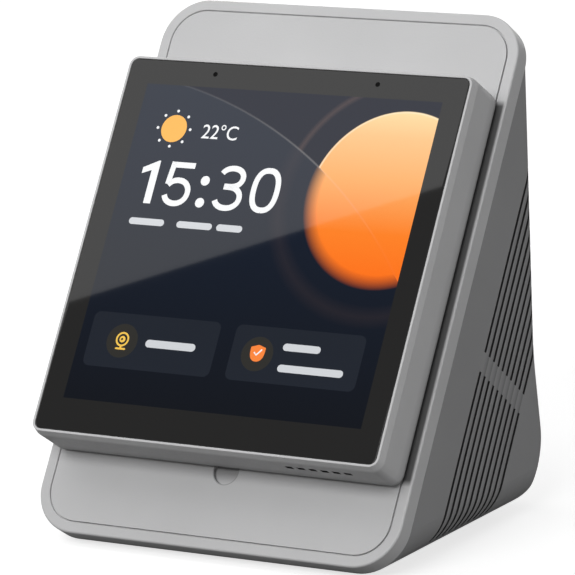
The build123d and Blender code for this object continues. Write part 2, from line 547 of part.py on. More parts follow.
with BuildPart() as speaker:
    box_w, box_h, box_t = SPEAKER_BOX
    speaker_at = [(SPEAKER_X - 0.4, -33.8)]
    slab(4.4, box_t, box_w, box_h, 1.0, speaker_at)
    slab(4.9, box_t - 1.0, box_w - 3.0, 2.0, at=[(SPEAKER_X - 0.4, -40.3)], mode=Mode.SUBTRACT)
finish(speaker, "speaker")

with BuildPart() as speaker_gasket:
    foam_up = (-33.8 - box_h / 2 - PANEL_H / 2 + PANEL_WALL) / 2
    foam_h = PANEL_H / 2 - PANEL_WALL - 33.8 - box_h / 2
    slab(4.4, box_t, box_w, foam_h, at=[(SPEAKER_X - 0.4, foam_up)])
    slab(4.9, box_t - 1.0, box_w - 3.0, foam_h, at=[(SPEAKER_X - 0.4, foam_up)], mode=Mode.SUBTRACT)
finish(speaker_gasket, "speaker_gasket")

with BuildPart() as display_connector:
    slab(chassis_back + 0.15, MAIN_BOARD_DEPTH - chassis_back - 0.15, FLEX_W + 1, 3.4, at=[(FLEX_X, -22.2)])
finish(display_connector, "display_connector")

with BuildPart() as display_flex:
    flex_back = chassis_back + 0.3
    slab(lcd_back - 0.5, FLEX_T, FLEX_W, 2.6, at=[(FLEX_X, -38.0)])
    slab(lcd_back - 0.5, flex_back + FLEX_T - lcd_back + 0.5, FLEX_W, FLEX_T, at=[(FLEX_X, -39.2)])
    slab(flex_back, FLEX_T, FLEX_W, 15.4, at=[(FLEX_X, -31.6)])
finish(display_flex, "display_flex")

with BuildPart() as antenna:
    slab(COVER_DEPTH - 0.3, 0.3, 26.0, 4.0, 0.5, [(20, 38)])
finish(antenna, "antenna")

with BuildPart() as back_cover:
    slab(COVER_DEPTH, COVER_T, room_w - 0.5, room_h - 0.5, 1.2)
    slab(COVER_BACK, FACE_DEPTH - 0.15 - COVER_BACK, HOOK_W, HOOK_T, at=HOOKS)
    hole = (CONNECTOR_W + 0.5, CONNECTOR_H + 0.5)
    slab(COVER_DEPTH, COVER_T, *hole, at=[(0, CONNECTOR_UP)], mode=Mode.SUBTRACT)
    cover_rear = face(COVER_BACK).rotated((180, 0, 0))
    screw_at = [(x, -y) for x, y in COVER_SCREWS]
    countersinks(cover_rear, COVER_T, screw_at, 1.7, 0.8, 1.05)
    cover_vents = [(x, up) for x in range(-20, 21, 5) for up in (6, 22)]
    slab(COVER_DEPTH, COVER_T, 1.8, 9.0, 0.85, cover_vents, Mode.SUBTRACT)
finish(back_cover, "back_cover")

with BuildPart() as cover_screws:
    countersunk(cover_rear, 5.8, screw_at, 1.7, 0.8, 0.8)
finish(cover_screws, "cover_screws")
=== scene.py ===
"""Looks of the smart home hub: a square touch panel on a leaning, vented desk stand."""

import json
from math import cos, pi, radians, sin, tan

import bmesh
import bpy
from mathutils import Matrix, Vector

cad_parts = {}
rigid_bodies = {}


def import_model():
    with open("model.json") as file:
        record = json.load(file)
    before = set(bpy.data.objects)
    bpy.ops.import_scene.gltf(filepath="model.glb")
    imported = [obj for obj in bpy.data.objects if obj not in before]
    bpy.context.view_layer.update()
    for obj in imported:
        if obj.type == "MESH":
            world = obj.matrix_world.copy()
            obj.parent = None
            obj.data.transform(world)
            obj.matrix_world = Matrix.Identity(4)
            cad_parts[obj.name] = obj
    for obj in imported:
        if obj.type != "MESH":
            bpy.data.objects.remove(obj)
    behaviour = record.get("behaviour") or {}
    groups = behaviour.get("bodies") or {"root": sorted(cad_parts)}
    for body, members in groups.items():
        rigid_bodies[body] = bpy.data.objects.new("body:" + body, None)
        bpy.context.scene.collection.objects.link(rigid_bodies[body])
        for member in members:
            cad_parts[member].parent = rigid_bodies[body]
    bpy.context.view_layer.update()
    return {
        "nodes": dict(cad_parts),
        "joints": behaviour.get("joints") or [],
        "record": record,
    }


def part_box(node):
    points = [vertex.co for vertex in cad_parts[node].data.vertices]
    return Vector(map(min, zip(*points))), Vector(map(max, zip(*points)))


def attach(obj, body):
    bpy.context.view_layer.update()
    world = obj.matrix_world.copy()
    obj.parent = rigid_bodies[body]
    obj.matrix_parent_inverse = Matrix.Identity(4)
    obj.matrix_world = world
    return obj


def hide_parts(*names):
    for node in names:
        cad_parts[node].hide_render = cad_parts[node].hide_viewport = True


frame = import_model()

# ---------------------------------------------------------------- sizes, in millimetres
MM = 0.001
SMOOTH_UP_TO = 35  # degrees between faces that still shade as one
PANEL_W, PANEL_H, PANEL_R = 84.2, 86.0, 2.6
PANEL_DEPTH, BEVEL_DEPTH, BEVEL_INSET = 12.0, 2.0, 0.45
PANEL_WALL, GLASS_MARGIN, LEDGE_DEPTH, LEDGE_MARGIN, LEDGE_BACK = 1.3, 0.95, 1.3, 2.45, 2.4
GLASS_W, GLASS_H, GLASS_R, GLASS_FRONT, GLASS_BACK = 82.0, 83.75, 1.4, 0.05, 1.15
MIC_X, MIC_UP, MIC_R = 19.75, 39.45, 0.55
SLOT_X, SLOT_COUNT, SLOT_PITCH, SLOT_DEPTH, SLOT_W, SLOT_T = 25.6, 6, 2.76, 5.4, 1.75, 1.4
NOTCH_X, NOTCH_W, NOTCH_T, NOTCH_RISE = -0.5, 6.6, 1.1, 0.8
SCOOP_R, SCOOP_UP = 2.9, -43.4
RING_W, RING_H, RING_R, RING_UP = 87.3, 121.8, 10.0, 0.4
RING_FRONT, RING_BACK, RING_RIM, RING_LEDGE, PLATE_BACK = 12.2, 16.5, 2.4, 8.25, 14.6
SEAM_STEP, SEAM_DEPTH = 0.25, 0.5
VENT_FIRST, VENT_PITCH, VENT_BARS = 28.75, 2.267, 9.2
LOUVRE_FROM, SLOT_WALL_FROM = 40.5, 35.5  # distances from the middle where each begins
INNER_FACE_TURN = -8.0  # millimetres off the middle times how far a face looks inwards
SCREEN_X, SCREEN_UP, SCREEN_HALF_W, SCREEN_HALF_H = 0.05, 0.8, 35.85, 35.6
INK_PROUD, INK_SUNK = 0.02, 0.01  # lit shapes stand off the glass and reach just into it
TILE_PROUD, BADGE_PROUD, MARK_PROUD, TOP_PROUD = 0.008, 0.014, 0.022, 0.026

# ---------------------------------------------------------------- the leaning plane
OUT = Vector(frame["joints"][0]["axis"]).normalized()
ACROSS = Vector((1, 0, 0))
UP = OUT.cross(ACROSS).normalized()
glass_low, glass_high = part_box("cover_glass")
CENTRE = (glass_low + glass_high) / 2 + OUT * (GLASS_FRONT + GLASS_BACK) / 2 * MM
BACK_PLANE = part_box("front_frame")[1].y


def at(u, v, depth):
    """Point across, up and behind the panel's front, given in millimetres."""
    return CENTRE + (ACROSS * u + UP * v - OUT * depth) * MM


def turned_to(place, right, up, back):
    """Placement at a point, with its three axes along the ways given."""
    return Matrix.Translation(place) @ Matrix((right, up, back)).transposed().to_4x4()


def added(name, data):
    """New object in the scene."""
    obj = bpy.data.objects.new(name, data)
    bpy.context.scene.collection.objects.link(obj)
    return obj


def as_mesh(obj):
    """Plain mesh of an object as its modifiers or letters leave it."""
    bpy.context.view_layer.update()
    graph = bpy.context.evaluated_depsgraph_get()
    return bpy.data.meshes.new_from_object(obj.evaluated_get(graph))


# ---------------------------------------------------------------- mesh making
def outline(w, h, r, steps=10):
    """Rounded rectangle, anticlockwise as seen from the front."""
    points = []
    for quarter, (sx, sy) in enumerate(((1, 1), (-1, 1), (-1, -1), (1, -1))):
        for i in range(steps + 1):
            angle = pi / 2 * (quarter + i / steps)
            points.append((sx * (w / 2 - r) + r * cos(angle), sy * (h / 2 - r) + r * sin(angle)))
    return points


def softened(section, steps=5):
    """Section whose corners (inset, depth, radius) are turned into short arcs."""
    path = []
    for i, (x, y, r) in enumerate(section):
        here = Vector((x, y))
        if not r:
            path.append(here)
            continue
        before = (Vector(section[i - 1][:2]) - here).normalized()
        after = (Vector(section[(i + 1) % len(section)][:2]) - here).normalized()
        half = before.angle(after) / 2
        reach = r / tan(half)
        middle = here + (before + after).normalized() * r / sin(half)
        start, end = here + before * reach - middle, here + after * reach - middle
        for k in range(steps + 1):
            path.append(middle + start.slerp(end, k / steps).normalized() * r)
    return path


def mesh_object(name, bm, sharp=SMOOTH_UP_TO):
    """Finished mesh object with outward faces and smooth shading up to an angle."""
    bmesh.ops.remove_doubles(bm, verts=bm.verts, dist=1e-7)
    bmesh.ops.recalc_face_normals(bm, faces=bm.faces)
    mesh = bpy.data.meshes.new(name)
    bm.to_mesh(mesh)
    bm.free()
    mesh.shade_smooth()
    mesh.set_sharp_from_angle(angle=radians(sharp))
    return added(name, mesh)


def swept(name, w, h, r, section, up=0.0, hollow=True, steps=10):
    """A section carried round a rounded rectangle; hollow ones close on themselves."""
    bm = bmesh.new()
    loops = []
    for inset, depth in softened(section):
        loop = []
        for u, v in outline(w - 2 * inset, h - 2 * inset, max(r - inset, 0.15), steps):
            point = at(u, v + up, depth)
            over = point.y - BACK_PLANE
            if over > 0:
                point += OUT * over / -OUT.y
            loop.append(bm.verts.new(point))
        loops.append(loop)
    pairs = list(zip(loops, loops[1:] + loops[:1])) if hollow else list(zip(loops, loops[1:]))
    for one, two in pairs:
        for i in range(len(one)):
            j = (i + 1) % len(one)
            bm.faces.new((one[i], one[j], two[j], two[i]))
    if not hollow:
        bm.faces.new(loops[0])
        bm.faces.new(loops[-1])
    return mesh_object(name, bm)


def cut(obj, cutters):
    """Takes the cutters out of obj and leaves a plain mesh."""
    for cutter in cutters:
        hole = obj.modifiers.new("hole", "BOOLEAN")
        hole.object = cutter
        hole.operation = "DIFFERENCE"
        hole.solver = "EXACT"
    mesh = as_mesh(obj)
    obj.modifiers.clear()
    obj.data = mesh
    mesh.set_sharp_from_angle(angle=radians(SMOOTH_UP_TO))
    for cutter in cutters:
        bpy.data.objects.remove(cutter)


def flat_faced(obj):
    """Keeps broad faces flat in the light and leaves the turn to the rounded edges."""
    even = obj.modifiers.new("even_shading", "WEIGHTED_NORMAL")
    even.keep_sharp = True
    even.weight = 100


def block(name, u, v, depth, w, h, t, r=0.3):
    """Rounded block parallel to the face, its front at a depth."""
    corner = min(r, w / 2 - 0.01, h / 2 - 0.01)
    obj = swept(name, w, h, corner, [(0, depth, 0), (0, depth + t, 0)], hollow=False)
    obj.data.transform(Matrix.Translation(ACROSS * u * MM + UP * v * MM))
    return obj


# ---------------------------------------------------------------- node helpers
class Recipe:
    """One material and short ways to add its nodes."""

    def __init__(self, name):
        self.material = bpy.data.materials.new(name)
        self.material.use_nodes = True
        self.tree = self.material.node_tree
        self.shader = self.tree.nodes["Principled BSDF"]
        self.place = self.tree.nodes.new("ShaderNodeTexCoord").outputs["Object"]

    def put(self, value, socket):
        if isinstance(value, bpy.types.NodeSocket):
            self.tree.links.new(value, socket)
        elif isinstance(value, (tuple, list)) and len(value) == 3 and socket.type == "RGBA":
            socket.default_value = (*value, 1)
        else:
            socket.default_value = value

    def calc(self, kind, *values, clamp=False):
        node = self.tree.nodes.new("ShaderNodeMath")
        node.operation = kind
        node.use_clamp = clamp
        for value, socket in zip(values, node.inputs):
            self.put(value, socket)
        return node.outputs[0]

    def vector(self, kind, *values):
        node = self.tree.nodes.new("ShaderNodeVectorMath")
        node.operation = kind
        for value, socket in zip(values, node.inputs):
            self.put(value, socket)
        return node.outputs["Value" if kind in ("DOT_PRODUCT", "LENGTH", "DISTANCE") else "Vector"]

    def blend(self, amount, one, two, kind="MIX"):
        node = self.tree.nodes.new("ShaderNodeMix")
        node.data_type = "RGBA"
        node.blend_type = kind
        for value, spot in ((amount, 0), (one, 6), (two, 7)):
            self.put(value, node.inputs[spot])
        return node.outputs[2]

    def noise(self, scale, detail=3.0, place=None):
        node = self.tree.nodes.new("ShaderNodeTexNoise")
        self.put(place or self.place, node.inputs["Vector"])
        node.inputs["Scale"].default_value = scale
        node.inputs["Detail"].default_value = detail
        return node.outputs[0]

    def stretch(self, value, low, high, to_low, to_high):
        node = self.tree.nodes.new("ShaderNodeMapRange")
        for item, socket in zip((value, low, high, to_low, to_high), node.inputs):
            self.put(item, socket)
        return node.outputs[0]

    def ramp(self, value, stops):
        node = self.tree.nodes.new("ShaderNodeValToRGB")
        self.put(value, node.inputs[0])
        bands = node.color_ramp.elements
        while len(bands) < len(stops):
            bands.new(0.5)
        for band, (spot, colour) in zip(bands, stops):
            band.position = spot
            band.color = (*colour, 1)
        return node.outputs[0]

    def greys(self, value, stops):
        return self.ramp(value, [(spot, (grey,) * 3) for spot, grey in stops])

    def drifting(self, colour, drift=0.03):
        """Colour that wanders a little over the piece, as moulded plastic does."""
        drift_at = self.stretch(self.noise(38.0), 0.3, 0.7, 0.0, 1.0)
        return self.blend(drift_at, tinted(colour, 1 - drift), tinted(colour, 1 + drift))

    def face_places(self):
        """Distances across, up and behind the panel's front, in millimetres."""
        from_centre = self.vector("SUBTRACT", self.place, tuple(CENTRE))
        ways = [tuple(way / MM) for way in (ACROSS, UP, -OUT)]
        return [self.vector("DOT_PRODUCT", from_centre, way) for way in ways]

    def near(self, value, middle, reach, soft=0.05):
        """One within reach of the middle, falling to nought over a soft edge."""
        off = self.calc("ABSOLUTE", self.calc("SUBTRACT", value, middle))
        return self.stretch(off, reach, reach + soft, 1.0, 0.0)

    def all_of(self, first, *rest):
        """Masks multiplied together."""
        for mask in rest:
            first = self.calc("MULTIPLY", first, mask)
        return first

    def away(self, u, v, x, y):
        """Distance of a place u, v from a point x, y."""
        offs = [self.calc("SUBTRACT", here, there) for here, there in ((u, x), (v, y))]
        squares = [self.calc("MULTIPLY", off, off) for off in offs]
        return self.calc("SQRT", self.calc("ADD", *squares))

    def bump(self, height, distance, strength=1.0):
        node = self.tree.nodes.new("ShaderNodeBump")
        node.inputs["Strength"].default_value = strength
        node.inputs["Distance"].default_value = distance
        self.put(height, node.inputs["Height"])
        self.put(node.outputs[0], self.shader.inputs["Normal"])

    def set(self, **values):
        for name, value in values.items():
            self.put(value, self.shader.inputs[name.replace("_", " ")])
        return self.material


def tinted(colour, factor):
    return tuple(min(1.0, c * factor) for c in colour)


# ---------------------------------------------------------------- finishes
def moulded(name, colour, roughness=0.5, grain=2600.0, depth=0.00003, painted_shade=None):
    """Injection-moulded plastic: spark-eroded grain, uneven colour and sheen, a local painted
    shade.
    """
    recipe = Recipe(name)
    shade = recipe.drifting(colour)
    # a given function paints local shade into the colour
    if painted_shade:
        shade = recipe.blend(1.0, shade, painted_shade(recipe), "MULTIPLY")
    recipe.bump(recipe.noise(grain, 2.0), depth, 0.5)
    sheen = recipe.stretch(recipe.noise(grain / 3), 0.3, 0.7, roughness - 0.05, roughness + 0.05)
    return recipe.set(Base_Color=shade, Roughness=sheen)


def shell_plastic(name, colour):
    """The shell's plastic: bars between vents are shallow louvres, with painted shade that is
    lightest behind a slot.
    """
    recipe = Recipe(name)
    u, _, depth = recipe.face_places()
    off_middle = recipe.calc("ABSOLUTE", u)
    count = recipe.calc("DIVIDE", recipe.calc("SUBTRACT", depth, VENT_FIRST), VENT_PITCH)
    along = recipe.calc("FRACT", count)
    on_side = recipe.stretch(off_middle, LOUVRE_FROM, LOUVRE_FROM + 2.0, 0.0, 1.0)
    past_first = recipe.calc("GREATER_THAN", count, 0.0)
    before_last = recipe.calc("LESS_THAN", count, VENT_BARS)
    in_rows = recipe.all_of(past_first, before_last)
    back = recipe.vector("DOT_PRODUCT", recipe.place, (0.0, 1 / MM, 0.0))
    low_enough = recipe.stretch(back, BACK_PLANE / MM - 2.8, BACK_PLANE / MM - 1.4, 1.0, 0.0)
    louvre = recipe.all_of(on_side, in_rows, low_enough)
    # painted shade along each louvre: light behind a slot, darker towards the next
    painted_louvre_shade = recipe.greys(along, [(0.0, 1.0), (0.22, 1.0), (0.6, 0.86), (1.0, 0.62)])
    shade = recipe.drifting(colour)
    outside = recipe.blend(louvre, shade, recipe.blend(1.0, shade, painted_louvre_shade, "MULTIPLY"))
    # painted shade: the slots' own walls and the shell's inner face are coloured dark
    facing = recipe.tree.nodes.new("ShaderNodeNewGeometry").outputs["True Normal"]
    across_slot = recipe.calc("ABSOLUTE", recipe.vector("DOT_PRODUCT", facing, tuple(OUT)))
    near_rows = recipe.near(count, VENT_BARS / 2, VENT_BARS / 2 + 0.3)
    slot_wall = recipe.all_of(
        recipe.calc("GREATER_THAN", across_slot, 0.9),
        recipe.calc("GREATER_THAN", off_middle, SLOT_WALL_FROM),
        near_rows,
    )
    turned = recipe.calc("MULTIPLY", recipe.vector("DOT_PRODUCT", facing, tuple(ACROSS)), u)
    inner_face = recipe.calc("LESS_THAN", turned, INNER_FACE_TURN)
    unlit = recipe.calc("MAXIMUM", slot_wall, inner_face)
    colour_at = recipe.blend(unlit, outside, tinted(colour, 0.12))
    grain = recipe.calc("MULTIPLY", recipe.noise(2600.0, 2.0), 0.03)
    lift = recipe.all_of(along, louvre, 0.25)
    recipe.bump(recipe.calc("ADD", grain, lift), 0.001, 0.6)
    return recipe.set(Base_Color=colour_at, Roughness=0.52)


def housing_painted_shade(recipe):
    """Painted shade round the back edge, underneath, in the speaker slots and in the prying notch.
    """
    u, v, depth = recipe.face_places()
    bottom = -PANEL_H / 2
    turn = recipe.stretch(depth, PANEL_DEPTH - 4.0, PANEL_DEPTH, 0.0, 1.0)
    # painted shade, deepening as the back edge rounds away
    back_edge_painted_shade = recipe.greys(turn, [(0.0, 1.0), (0.5, 0.82), (0.78, 0.36), (1.0, 0.16)])
    inside_wall = recipe.near(v, bottom + 1.0, 0.93, 0.03)
    row = recipe.near(u, SLOT_X, SLOT_PITCH * SLOT_COUNT / 2)
    slot = recipe.all_of(inside_wall, row, recipe.near(depth, SLOT_DEPTH, SLOT_T / 2 + 0.05))
    pried = recipe.near(u, NOTCH_X, NOTCH_W / 2)
    notch = recipe.all_of(inside_wall, pried, recipe.near(depth, PANEL_DEPTH, NOTCH_T))
    behind_bevel = recipe.stretch(depth, 1.4, 2.6, 0.0, 1.0)
    # painted shade, a third darker, on the underside behind the bevel
    under = recipe.all_of(recipe.stretch(v, bottom + 0.1, bottom + 1.0, 1.0, 0.0), behind_bevel)
    walls = recipe.blend(under, back_edge_painted_shade, recipe.blend(1.0, back_edge_painted_shade, (0.66,) * 3, "MULTIPLY"))
    # painted shade in the speaker slots and the notch, near black
    return recipe.blend(recipe.calc("MAXIMUM", slot, notch), walls, (0.06,) * 3)


def ring_painted_shade(recipe):
    """Painted shade on the strips of the ring's front that run beside the panel."""
    u, v, depth = recipe.face_places()
    beside = recipe.near(recipe.calc("ABSOLUTE", u), PANEL_W / 2, 0.8, 0.6)
    level = recipe.near(v, 0.0, PANEL_H / 2 - 2.0, 1.4)
    front = recipe.near(depth, RING_FRONT, 0.12, 0.2)
    return recipe.stretch(recipe.all_of(beside, level, front), 0.0, 1.0, 1.0, 0.17)


def scoop_painted_shading(recipe):
    """Painted shading of the finger scoop under the panel: a dark edge line, and inside it lighter
    at the bottom, darker higher up.
    """
    u, v, _ = recipe.face_places()
    off = recipe.away(u, v, 0.0, SCOOP_UP)
    inside = recipe.stretch(off, SCOOP_R - 0.2, SCOOP_R, 1.0, 0.0)
    painted_dish_shading = recipe.stretch(v, SCOOP_UP - SCOOP_R, SCOOP_UP - 0.5, 1.2, 0.8)
    line = recipe.stretch(recipe.near(off, SCOOP_R, 0.08, 0.18), 0.0, 1.0, 1.0, 0.6)
    return recipe.calc("MULTIPLY", line, recipe.stretch(inside, 0.0, 1.0, 1.0, painted_dish_shading))


def brushed(name, colour, roughness=0.32):
    """Plated or pressed metal with fine drawn lines across it."""
    recipe = Recipe(name)
    drawn = recipe.vector("MULTIPLY", recipe.place, (400.0, 6000.0, 6000.0))
    lines = recipe.noise(1.0, 3.0, drawn)
    shade = recipe.blend(lines, tinted(colour, 0.85), tinted(colour, 1.1))
    recipe.bump(lines, 0.00001, 0.4)
    sheen = recipe.stretch(lines, 0.2, 0.8, roughness - 0.08, roughness + 0.12)
    return recipe.set(Base_Color=shade, Roughness=sheen, Metallic=1.0)


def rubbery(name, colour, roughness=0.75):
    """Soft moulded rubber: matt, with a dusty bloom in patches."""
    recipe = Recipe(name)
    bloom = recipe.stretch(recipe.noise(220.0), 0.45, 0.75, 0.0, 1.0)
    shade = recipe.blend(bloom, colour, tinted(colour, 1.5))
    recipe.bump(recipe.noise(3500.0, 2.0), 0.00003, 0.5)
    return recipe.set(Base_Color=shade, Roughness=roughness)


def circuit_board(name, colour):
    """Solder mask over copper: paler tracks on a fine grid, and small tinned pads."""
    recipe = Recipe(name)
    grid = recipe.tree.nodes.new("ShaderNodeTexBrick")
    recipe.put(recipe.vector("MULTIPLY", recipe.place, (1.0, 1.0, 1.3)), grid.inputs["Vector"])
    grid.inputs["Scale"].default_value = 420.0
    grid.inputs["Mortar Size"].default_value = 0.035
    grid.inputs["Color1"].default_value = (*colour, 1)
    grid.inputs["Color2"].default_value = (*tinted(colour, 0.8), 1)
    grid.inputs["Mortar"].default_value = (*tinted(colour, 2.2), 1)
    dots = recipe.tree.nodes.new("ShaderNodeTexVoronoi")
    recipe.put(recipe.place, dots.inputs["Vector"])
    dots.inputs["Scale"].default_value = 300.0
    pads = recipe.calc("LESS_THAN", dots.outputs["Distance"], 0.16)
    shade = recipe.blend(pads, grid.outputs["Color"], (0.62, 0.6, 0.55))
    recipe.bump(grid.outputs["Fac"], 0.00002, 0.5)
    return recipe.set(Base_Color=shade, Roughness=0.3)


# ---------------------------------------------------------------- the lit screen
INK = {
    "night": (0.0003, 0.0030, 0.0170),
    "night_low": (0.0052, 0.0068, 0.0112),
    "frost": (0.0080, 0.0150, 0.0330),
    "halo": (0.26, 0.16, 0.13),
    "orb_edge": (1.0, 0.86, 0.6),
    "rim": (0.75, 0.72, 0.7),
    "bezel": (0.0175, 0.0172, 0.0170),
    "tile": (0.0150, 0.0190, 0.0285),
    "badge": (0.0300, 0.0290, 0.0260),
    "white": (0.95, 0.96, 0.97),
    "words": (0.66, 0.68, 0.71),
    "sun": (1.0, 0.50, 0.09),
    "yellow": (0.95, 0.60, 0.10),
    "orange": (1.0, 0.25, 0.05),
}
LIT_SHARE, GLOW_SHARE = 0.62, 0.48
ORB_X, ORB_UP, ORB_R, HALO_R = 29.4, 14.5, 19.4, 25.8
SWEEP_X, SWEEP_UP, SWEEP_R = -50.6, -70.5, 109.7


def lit(recipe, picture):
    """Screen finish: the picture shines a little and lies under polished glass."""
    dimmed = recipe.blend(1.0, picture, (LIT_SHARE,) * 3, "MULTIPLY")
    recipe.set(Base_Color=dimmed, Emission_Color=picture, Emission_Strength=GLOW_SHARE)
    return recipe.set(Roughness=0.02, IOR=1.5)


def ink(name):
    """A lit shape on the screen, with the faint unevenness of a backlight."""
    recipe = Recipe("screen_" + name)
    uneven = recipe.stretch(recipe.noise(60.0, 1.0), 0.3, 0.7, 0.0, 1.0)
    return lit(recipe, recipe.blend(uneven, tinted(INK[name], 0.97), INK[name]))


def screen_glass():
    """Cover glass: black border, and the home screen's night sky, orb and thin arcs."""
    recipe = Recipe("screen_glass")
    u, v, _ = recipe.face_places()
    in_width = recipe.near(u, SCREEN_X, SCREEN_HALF_W)
    screen = recipe.all_of(in_width, recipe.near(v, SCREEN_UP, SCREEN_HALF_H))
    height = recipe.stretch(v, SCREEN_UP - SCREEN_HALF_H, SCREEN_UP + SCREEN_HALF_H, 0.0, 1.0)
    low, high = INK["night_low"], INK["night"]
    sky = recipe.ramp(height, [(0.0, low), (0.5, low), (0.85, high)])
    # frosted inside the big sweep, clear outside it, with a thin bright rim between
    sweep = recipe.away(u, v, SWEEP_X, SWEEP_UP)
    frosted = recipe.stretch(sweep, SWEEP_R - 0.1, SWEEP_R + 0.1, 1.0, 0.0)
    sky = recipe.blend(recipe.calc("MULTIPLY", frosted, height), sky, INK["frost"])
    orb = recipe.away(u, v, ORB_X, ORB_UP)
    halo_width = recipe.stretch(frosted, 0.0, 1.0, 1.0, 2.6)
    halo_glow = recipe.stretch(frosted, 0.0, 1.0, 0.2, 0.045)
    off_halo = recipe.calc("ABSOLUTE", recipe.calc("SUBTRACT", orb, HALO_R))
    halo = recipe.calc("MULTIPLY", recipe.stretch(off_halo, 0.0, halo_width, 1.0, 0.0), halo_glow)
    sky = recipe.blend(halo, sky, INK["halo"])
    blur = recipe.stretch(frosted, 0.0, 1.0, 0.2, 3.4)
    shrink = recipe.stretch(frosted, 0.0, 1.0, ORB_R, ORB_R - 1.1)
    edge = recipe.calc("DIVIDE", recipe.calc("SUBTRACT", shrink, orb), blur)
    glowing = recipe.calc("ADD", edge, 0.5, clamp=True)
    warm = recipe.ramp(
        recipe.stretch(v, ORB_UP - ORB_R, ORB_UP + ORB_R, 0.0, 1.0),
        [
            (0.0, (1.0, 0.16, 0.008)),
            (0.3, (1.0, 0.225, 0.02)),
            (0.6, (1.0, 0.43, 0.13)),
            (0.85, (1.0, 0.56, 0.24)),
            (1.0, (1.0, 0.72, 0.36)),
        ],
    )
    sky = recipe.blend(glowing, sky, warm)
    unfrosted = recipe.stretch(frosted, 0.0, 1.0, 0.7, 0.0)
    sharp_edge = recipe.all_of(recipe.near(orb, ORB_R - 0.2, 0.0, 0.3), unfrosted)
    sky = recipe.blend(sharp_edge, sky, INK["orb_edge"])
    # the rim fades towards both ends and over the orb
    rim = recipe.all_of(
        recipe.near(sweep, SWEEP_R, 0.0, 0.3),
        recipe.stretch(v, 4.0, 20.0, 0.02, 0.2),
        recipe.stretch(v, 20.0, 36.0, 1.0, 0.25),
        recipe.stretch(glowing, 0.0, 1.0, 1.0, 0.6),
    )
    sky = recipe.blend(rim, sky, INK["rim"])
    return lit(recipe, recipe.blend(screen, INK["bezel"], sky))


def flat_shape(name, loops, colour, proud=INK_PROUD):
    """Thin lit shapes on the screen, one for each closed loop of points."""
    bm = bmesh.new()
    for loop in loops:
        front = [bm.verts.new(at(u, v, GLASS_FRONT - proud)) for u, v in loop]
        back = [bm.verts.new(at(u, v, GLASS_FRONT + INK_SUNK)) for u, v in loop]
        bm.faces.new(front)
        bm.faces.new(back)
        for i in range(len(loop)):
            j = (i + 1) % len(loop)
            bm.faces.new((front[i], front[j], back[j], back[i]))
    obj = mesh_object(name, bm, 30)
    obj.data.materials.append(inks[colour])
    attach(obj, "panel")
    return obj


def disc(u, v, r, steps=36):
    turns = [2 * pi * i / steps for i in range(steps)]
    return [(u + r * cos(turn), v + r * sin(turn)) for turn in turns]


def bar(u, v, w, h, r=None):
    """Rounded bar with its middle at u, v."""
    radius = h / 2 - 0.001 if r is None else r
    return [(u + x, v + y) for x, y in outline(w, h, radius, 6)]


def stroke(path, width):
    """Band of even width along a path."""
    left, right = [], []
    for i, here in enumerate(path):
        before, after = path[max(i - 1, 0)], path[min(i + 1, len(path) - 1)]
        run = (Vector(after) - Vector(before)).normalized() * width / 2
        left.append((here[0] - run.y, here[1] + run.x))
        right.append((here[0] + run.y, here[1] - run.x))
    return left + right[::-1]


def bow(u, v, ru, rv, start, end, power=1.0, steps=28):
    """Points of an oval arc; a power under one squares it a little."""
    points = []
    for i in range(steps + 1):
        a = radians(start + (end - start) * i / steps)
        x, y = abs(cos(a)) ** power, abs(sin(a)) ** power
        points.append((u + ru * (x if cos(a) > 0 else -x), v + rv * (y if sin(a) > 0 else -y)))
    return points


def figures(name, words, left, base, width, height):
    """Small figures on the screen, from a plain typeface, as thin lit solids."""
    curve = bpy.data.curves.new(name, "FONT")
    curve.body = words
    curve.offset = 0.002
    curve.extrude = 0.5
    curve.resolution_u = 6
    writing = added(name, curve)
    mesh = as_mesh(writing)
    bpy.data.objects.remove(writing)
    xs = [p.co.x for p in mesh.vertices]
    ys = [p.co.y for p in mesh.vertices]
    low_x, low_y = min(xs), min(ys)
    wide, tall = width / (max(xs) - low_x), height / (max(ys) - low_y)
    for p in mesh.vertices:
        depth = GLASS_FRONT - INK_PROUD if p.co.z > 0 else GLASS_FRONT + INK_SUNK
        p.co = at(left + (p.co.x - low_x) * wide, base + (p.co.y - low_y) * tall, depth)
    mesh.materials.clear()
    mesh.materials.append(inks["white"])
    obj = added(name, mesh)
    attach(obj, "panel")


